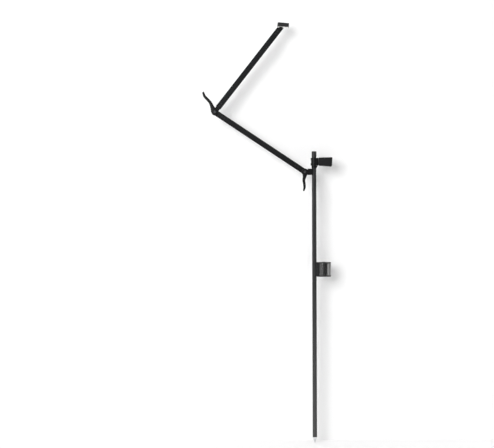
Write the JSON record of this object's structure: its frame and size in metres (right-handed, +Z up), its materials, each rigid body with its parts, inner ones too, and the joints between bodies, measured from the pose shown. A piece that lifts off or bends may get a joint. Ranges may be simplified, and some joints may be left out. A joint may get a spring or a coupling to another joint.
{
  "type": "picture light",
  "caption": "Slim black pole with a steel ground spike, a jointed arm with lever clamps carrying a small tilting light head, a hooded flood at the top and a driver canister at mid height",
  "frame": {"origin": "centre of the pole tube's lower end, where the spike's collar meets it", "axes": "+Z up along the pole; the arm lies in the XZ plane and reaches towards -X; hinge axes along Y, front is -Y"},
  "size_m": [0.4666, 0.0516, 1.5128],
  "materials": {
    "satin_black": "satin powder coat",
    "gloss_black": "gloss coat",
    "dark_steel": "black oxide",
    "cast_black": "semi-gloss coat on die-cast zinc",
    "black_plastic": "fine texture",
    "steel": "zinc plated",
    "polished_steel": "polished",
    "aluminium": "milled",
    "opal": "opal, translucent",
    "lens_glass": "clear",
    "reflector": "vacuum metallised",
    "board": "white solder mask",
    "cell_wrap": "shrink sleeve",
    "nylon": "natural nylon",
    "ribbon": "flat two-core ribbon"
  },
  "bodies": {
    "pole": {"battery_cells": "cell_wrap", "battery_holder": "black_plastic", "canister_bottom_cap": "black_plastic", "canister_saddle": "satin_black", "canister_screws": "steel", "canister_shell": "gloss_black", "canister_top_cap": "black_plastic", "charge_socket": "steel", "collar_stop_ring": "cast_black", "conductor_spacers": "nylon", "driver_board": "board", "foot_plug": "black_plastic", "foot_spike": "polished_steel", "pole_conductor": "ribbon", "pole_joiner": "steel", "pole_lower_tube": "satin_black", "pole_top_cap": "black_plastic", "pole_upper_tube": "satin_black", "shoulder_bolt": "dark_steel", "shoulder_bracket": "cast_black", "shoulder_bracket_screws": "dark_steel", "shoulder_friction_washers": "nylon", "shoulder_nut": "steel", "shoulder_nut_plate": "steel", "stop_ring_screw": "steel"},
    "power_button": {"power_button": "black_plastic"},
    "shoulder_lever": {"shoulder_lever": "cast_black"},
    "lower_arm": {"elbow_bolt": "dark_steel", "elbow_friction_washers": "nylon", "elbow_nut": "steel", "lower_arm_conductor": "ribbon", "lower_arm_elbow_fork": "cast_black", "lower_arm_rivets": "satin_black", "lower_arm_shoulder_fork": "cast_black", "lower_arm_tube": "satin_black"},
    "elbow_lever": {"elbow_lever": "cast_black"},
    "upper_arm": {"upper_arm_conductor": "ribbon", "upper_arm_elbow_tongue": "cast_black", "upper_arm_head_end": "satin_black", "upper_arm_rivets": "satin_black", "upper_arm_tube": "satin_black"},
    "head": {"head_diffuser": "opal", "head_heat_sink": "aluminium", "head_hinge_pin": "steel", "head_housing": "satin_black", "head_led_board": "board", "head_screws": "steel"},
    "flood_arm": {"flood_collar": "cast_black", "flood_friction_washer": "black_plastic", "flood_pivot_bolt": "steel"},
    "flood_head": {"flood_hood": "cast_black", "flood_heat_sink": "aluminium", "flood_led_board": "board", "flood_reflector": "reflector", "flood_lens": "lens_glass"}
  },
  "joints": [
    {"name": "shoulder_hinge", "type": "hinge", "parent": "pole", "child": "lower_arm", "pos_m": [-0.0337, 0, 0.9547], "axis": [0, -1, 0], "range_deg": [-56, 123]},
    {"name": "elbow_hinge", "type": "hinge", "parent": "lower_arm", "child": "upper_arm", "pos_m": [-0.35689, 0, 1.17065], "axis": [0, -1, 0], "range_deg": [-28, 94]},
    {"name": "head_tilt", "type": "hinge", "parent": "upper_arm", "child": "head", "pos_m": [-0.11193, 0, 1.48306], "axis": [0, -1, 0], "range_deg": [-15, 9]},
    {"name": "shoulder_lever_turn", "type": "hinge", "parent": "pole", "child": "shoulder_lever", "pos_m": [-0.0337, 0, 0.9547], "axis": [0, 1, 0], "range_deg": [0, 90]},
    {"name": "elbow_lever_turn", "type": "hinge", "parent": "lower_arm", "child": "elbow_lever", "pos_m": [-0.35689, 0, 1.17065], "axis": [0, -1, 0], "range_deg": [0, 90]},
    {"name": "flood_swivel", "type": "hinge", "parent": "pole", "child": "flood_arm", "pos_m": [0, 0, 0.9911], "axis": [0, 0, 1], "range_deg": [-90, 90]},
    {"name": "flood_roll", "type": "hinge", "parent": "flood_arm", "child": "flood_head", "pos_m": [0.0164, 0, 0.9911], "axis": [1, 0, 0], "range_deg": [-90, 90]},
    {"name": "power_button_press", "type": "slide", "parent": "pole", "child": "power_button", "axis": [0, 0, -1], "range_m": [0, 0.0012], "stiffness_N_per_m": 500}
  ]
}
